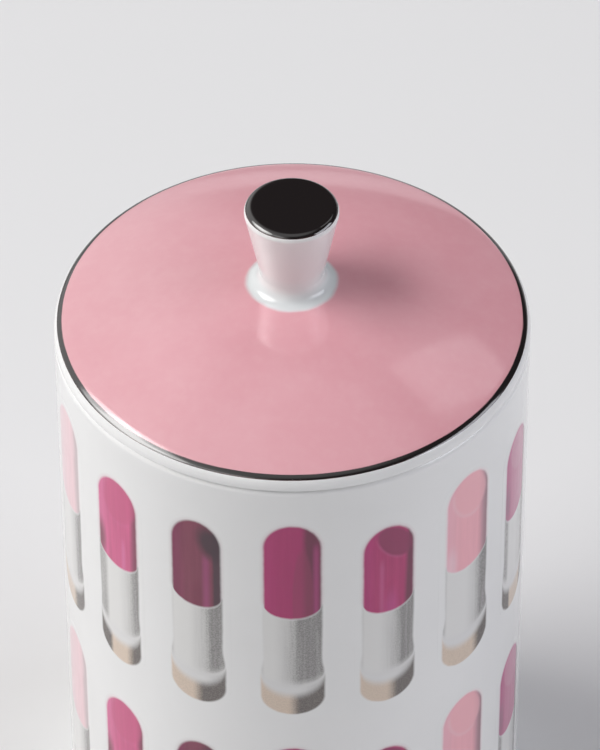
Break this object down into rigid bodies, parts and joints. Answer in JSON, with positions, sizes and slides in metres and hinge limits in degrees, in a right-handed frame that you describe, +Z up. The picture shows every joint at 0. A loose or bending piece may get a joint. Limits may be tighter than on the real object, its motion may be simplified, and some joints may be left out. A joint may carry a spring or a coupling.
{
  "type": "powder jar",
  "caption": "Round straight-sided porcelain powder jar with a lift-off domed lid, a flared knob and coloured enamel coats.",
  "frame": {"origin": "centre of the foot, on the surface that the jar stands on", "axes": "+Z up along the jar's axis, through the middle of the knob; the jar is round, so +X and +Y are any two directions at right angles across it, and -Y is taken as the front"},
  "size_m": [0.1014, 0.1014, 0.179],
  "materials": {
    "porcelain": "clear gloss glaze over white porcelain, bare on the foot ring and on the lid's seat",
    "pink_enamel": "gloss enamel",
    "dark_enamel": "gloss enamel, nearly black"
  },
  "bodies": {
    "jar": {"jar_body": "porcelain"},
    "lid": {"lid_plate": "porcelain", "lid_knob": "porcelain", "lid_enamel": "pink_enamel", "rim_line": "dark_enamel", "knob_cap": "dark_enamel"}
  },
  "joints": [
    {"name": "lid_lift", "type": "slide", "parent": "jar", "child": "lid", "axis": [0, 0, 1], "range_m": [0, 0.08]}
  ]
}
